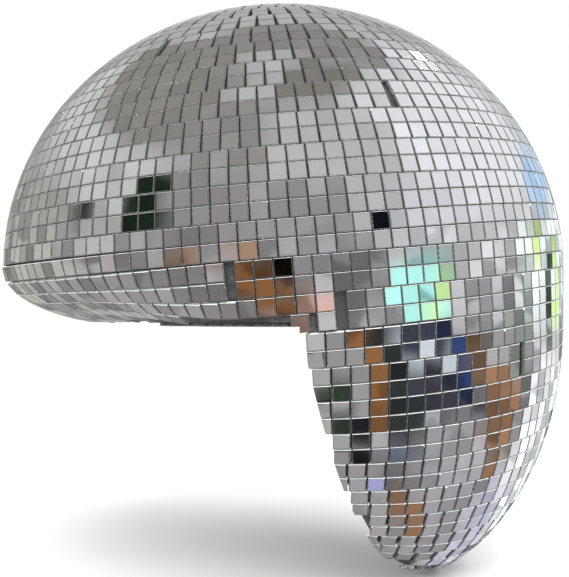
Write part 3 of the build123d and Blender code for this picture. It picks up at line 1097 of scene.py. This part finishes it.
    def build(self) -> None:
        """Make the world: a plain backdrop to the eye, and the room in reflections."""
        world = bpy.data.worlds.new("studio")
        world.use_nodes = True
        world.node_tree.nodes.clear()
        bpy.context.scene.world = world
        desk = NodeDesk(world.node_tree)
        way = desk.add("ShaderNodeTexCoord").outputs["Generated"]
        parts = desk.add("ShaderNodeSeparateXYZ", {0: way})
        turn = desk.math("DEGREES", desk.math("ARCTAN2", parts.outputs[1], parts.outputs[0]))
        height = desk.math("DEGREES", desk.math("ARCSINE", parts.outputs[2]))
        overhead = desk.stretch(height, *self.ceiling_rise, 0.0, 1.0)
        above_ground = desk.stretch(height, *self.ground_rise, 0.0, 1.0)
        upper = desk.blend(overhead, (*self.walls, 1.0), (*self.ceiling, 1.0))
        seen = desk.blend(above_ground, (*self.ground, 1.0), upper)
        for patch in self.patches:
            mask = PatchMask().place(
                desk,
                Turn=turn,
                Height=height,
                Middle_turn=patch.turn,
                Middle_height=patch.height,
                Half_turn=patch.half_turn,
                Half_height=patch.half_height,
                Soft=patch.soft,
            ).outputs["Mask"]
            seen = desk.blend(mask, seen, (*patch.colour, 1.0))
        reflected = self.glow(desk, self.cluttered(desk, way, height, seen), 1.0)
        plain = self.glow(desk, (*self.backdrop, 1.0), 1.0)
        fill = self.glow(desk, (*self.backdrop, 1.0), self.fill)
        path = desk.add("ShaderNodeLightPath").outputs
        lit = desk.add("ShaderNodeMixShader", {0: path["Is Glossy Ray"], 1: fill, 2: reflected})
        inputs = {0: path["Is Camera Ray"], 1: lit.outputs[0], 2: plain}
        shown = desk.add("ShaderNodeMixShader", inputs)
        desk.add("ShaderNodeOutputWorld", {"Surface": shown.outputs[0]})
        log.info("room: %d things for the mirrors to pick up", len(self.patches))

    def glow(self, desk: NodeDesk, colour: Feed, strength: float) -> Wire:
        """A part of the world that gives off one colour."""
        inputs = {"Color": colour, "Strength": strength}
        return desk.add("ShaderNodeBackground", inputs).outputs[0]

    def cluttered(self, desk: NodeDesk, way: Wire, height: Wire, seen: Wire) -> Wire:
        """Break the room up with small light and dark things, most of them near eye level.

        Args:
            desk: Desk of the world's tree.
            way: Direction looked in.
            height: Its height in degrees.
            seen: The room's colour so far.

        Returns:
            The colour with the clutter.
        """
        inputs = {
            "Vector": desk.drawn(way, (1.0, 1.0, 1.6)),
            "Scale": self.things_across,
            "Randomness": 1.0,
        }
        things = desk.add("ShaderNodeTexVoronoi", inputs).outputs["Color"]
        shade = desk.add("ShaderNodeSeparateColor", {0: things}).outputs[0]
        off_level = desk.math("ABSOLUTE", desk.math("SUBTRACT", height, self.eye_level))
        above = desk.stretch(off_level, *self.clutter_thins, self.clutter, self.clutter_far)
        lower = desk.stretch(height, *self.clutter_ground, 0.0, self.clutter)
        downwards = desk.stretch(height, self.clutter_lowest, 0.0, self.clutter_low_share, 1.0)
        below = desk.math("MULTIPLY", lower, downwards)
        near = desk.math("MAXIMUM", above, below)
        factor = desk.stretch(shade, 0.1, 0.9, *self.clutter_range)
        change = desk.math("MULTIPLY", near, desk.math("SUBTRACT", factor, 1.0))
        mixed = desk.math("ADD", 1.0, change)
        grey = desk.add("ShaderNodeCombineColor", {0: mixed, 1: mixed, 2: mixed}).outputs[0]
        return desk.blend(1.0, seen, grey, "MULTIPLY")


@dataclass(frozen=True)
class SoftLight:
    """A square soft light: where it stands from the ball's middle, its power and its side."""

    title: str
    place: Plain
    power: float
    side: float


@dataclass
class Studio:
    """Floor, lights and camera."""

    lights: tuple[SoftLight, ...] = (
        SoftLight("softbox_left", (-0.9, -0.5, 1.3), 22.0, 1.2),
        SoftLight("softbox_right", (0.5, -1.2, 1.0), 13.0, 1.0),
    )
    floor_drop: float = 0.6 * MILLIMETRE
    floor_half: float = 6.0
    camera_place: Plain = (-0.3074, -0.1235, 0.001)
    camera_turn: float = math.radians(-60.0)
    lens: float = 58.3
    sensor: float = 36.0
    nearest: float = 10.0 * MILLIMETRE
    rise: float = 0.0603

    def build_floor(self) -> None:
        """A wide pale floor just under the drip's tip, left out of the mirrors."""
        low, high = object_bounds()
        level = low.z - self.floor_drop
        mesh = bmesh.new()
        bmesh.ops.create_grid(mesh, x_segments=8, y_segments=8, size=self.floor_half)
        made = bpy.data.meshes.new("floor")
        mesh.to_mesh(made)
        mesh.free()
        made.materials.append(PalePaper().material())
        floor = bpy.data.objects.new("floor", made)
        floor.location = (0.0, (low.y + high.y) / 2, level)
        bpy.context.scene.collection.objects.link(floor)
        floor.visible_glossy = False
        floor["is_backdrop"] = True
        log.info("floor at z = %.4f m", level)

    def build_lights(self) -> None:
        """Two big soft lights, high on either side."""
        low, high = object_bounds()
        middle = (low + high) / 2
        for soft in self.lights:
            lamp = bpy.data.lights.new(soft.title, "AREA")
            lamp.size = soft.side
            lamp.energy = soft.power
            light = bpy.data.objects.new(soft.title, lamp)
            light.location = middle + Vector(soft.place)
            light.rotation_euler = (-Vector(soft.place)).to_track_quat("-Z", "Y").to_euler()
            light.visible_glossy = False
            bpy.context.scene.collection.objects.link(light)
        log.info("%d soft lights", len(self.lights))

    def build_camera(self) -> None:
        """A level camera, a little in front of the shelf's edge and to its left."""
        view = bpy.data.cameras.new("camera")
        view.lens = self.lens
        view.sensor_width = self.sensor
        view.shift_y = self.rise
        view.clip_start = self.nearest
        camera = bpy.data.objects.new("camera", view)
        camera.location = self.camera_place
        camera.rotation_euler = (math.radians(90.0), 0.0, self.camera_turn)
        bpy.context.scene.collection.objects.link(camera)
        bpy.context.scene.camera = camera
        bpy.context.scene.view_settings.view_transform = "Standard"
        log.info("camera ready")


def main() -> None:
    """Build the ball, its room and the camera."""
    logging.basicConfig(level=logging.INFO, format="%(name)s: %(message)s")
    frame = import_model()
    Mosaic().build(frame)
    FeltPad("seat_felt", glued_to="seat_cover").build(frame)
    FeltPad("apron_felt", glued_to="apron_cover").build(frame)
    PlainParts().build(frame)
    Room().build()
    studio = Studio()
    studio.build_floor()
    studio.build_lights()
    studio.build_camera()
    log.info("sizes written")


if __name__ == "__main__":
    main()
